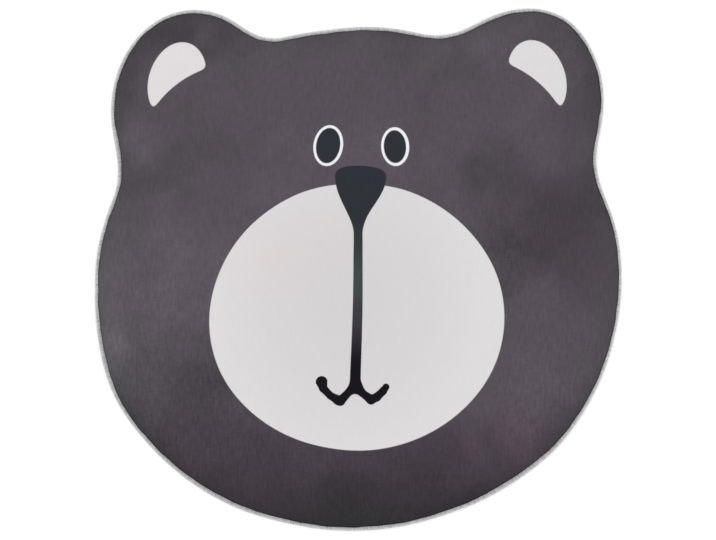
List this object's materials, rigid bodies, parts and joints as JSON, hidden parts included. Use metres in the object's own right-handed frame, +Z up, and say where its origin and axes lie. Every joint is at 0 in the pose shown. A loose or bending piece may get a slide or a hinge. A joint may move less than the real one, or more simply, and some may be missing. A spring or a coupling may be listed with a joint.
{
  "type": "bear-head kids rug",
  "caption": "Flat short-pile kids rug cut to the outline of a bear's head with two ears, with an overlocked yarn edging round the whole cut edge.",
  "frame": {"origin": "on the floor, under the middle of the rug's bounding box", "axes": "+Z up from the floor through the pile, +Y from the chin to the ears, +X to the right with the face seen from above"},
  "size_m": [1.0032, 0.9947, 0.006],
  "materials": {
    "printed_pile": "short soft printed pile, matt with a faint sheen",
    "edging_yarn": "light grey overlocking yarn, matt"
  },
  "bodies": {
    "root": {"rug_cloth": "printed_pile", "edging": "edging_yarn"}
  },
  "joints": []
}
